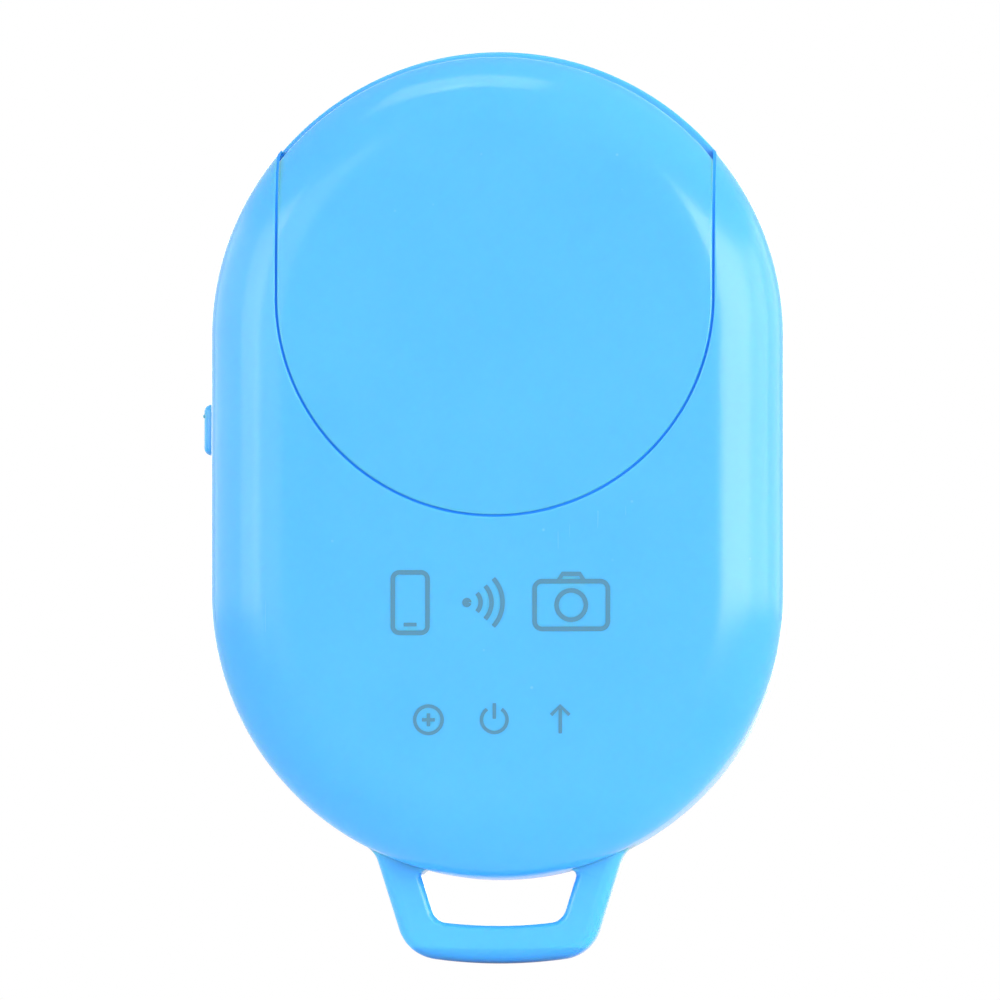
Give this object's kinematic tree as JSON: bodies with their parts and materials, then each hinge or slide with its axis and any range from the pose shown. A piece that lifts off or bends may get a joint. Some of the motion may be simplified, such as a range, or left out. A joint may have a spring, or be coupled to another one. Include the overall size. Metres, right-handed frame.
{
  "type": "bluetooth camera shutter remote",
  "caption": "Pocket camera shutter remote: rounded two-shell case with lanyard loop, sliding battery door, two push buttons and a side power switch.",
  "frame": {"origin": "centre of the foot of the lanyard loop, on the case's plane of symmetry and at half its thickness", "axes": "+Z along the case from the loop to the upper end, -Y out of the rear face with the battery door, +Y out of the front with the buttons, -X towards the power switch"},
  "size_m": [0.032, 0.01, 0.05],
  "materials": {
    "shell_blue": "smooth moulded, glossy",
    "light_lens": "clear moulded",
    "board_green": "solder mask",
    "steel": "rolled and nickel plated",
    "nylon": "satin",
    "gilt": "gold flash",
    "chip_black": "moulded, fine matt",
    "ceramic": "fired ceramic"
  },
  "bodies": {
    "case": {"rear_shell": "shell_blue", "front_shell": "shell_blue", "status_light_lens": "light_lens", "circuit_board": "board_green", "board_screws": "steel", "coin_cell_can": "steel", "coin_cell_gasket": "nylon", "coin_cell_cap": "steel", "battery_contact_negative": "gilt", "battery_contact_positive": "gilt", "large_switch_base": "chip_black", "large_switch_cover": "steel", "small_switch_base": "chip_black", "small_switch_cover": "steel", "slide_switch_can": "steel", "slide_switch_base": "chip_black", "bluetooth_chip": "chip_black", "memory_chip": "chip_black", "memory_chip_leads": "steel", "crystal_can": "steel", "status_led": "light_lens", "chip_capacitors": "ceramic", "chip_resistors": "chip_black", "antenna_trace": "gilt"},
    "battery_door_body": {"battery_door": "shell_blue"},
    "large_button_body": {"shutter_button_large": "shell_blue", "large_switch_plunger": "nylon"},
    "small_button_body": {"shutter_button_small": "shell_blue", "small_switch_plunger": "nylon"},
    "power_switch_body": {"power_switch_knob": "shell_blue", "slide_switch_actuator": "nylon"}
  },
  "joints": [
    {"name": "battery_door_slide", "type": "slide", "parent": "case", "child": "battery_door_body", "axis": [0, 0, 1], "range_m": [0, 0.026]},
    {"name": "large_button_press", "type": "slide", "parent": "case", "child": "large_button_body", "axis": [0, -1, 0], "range_m": [0, 0.00025], "stiffness_N_per_m": 4000, "springref_m": -0.0001},
    {"name": "small_button_press", "type": "slide", "parent": "case", "child": "small_button_body", "axis": [0, -1, 0], "range_m": [0, 0.00025], "stiffness_N_per_m": 4000, "springref_m": -0.0001},
    {"name": "power_switch_slide", "type": "slide", "parent": "case", "child": "power_switch_body", "axis": [0, 0, 1], "range_m": [-0.0011, 0]}
  ]
}
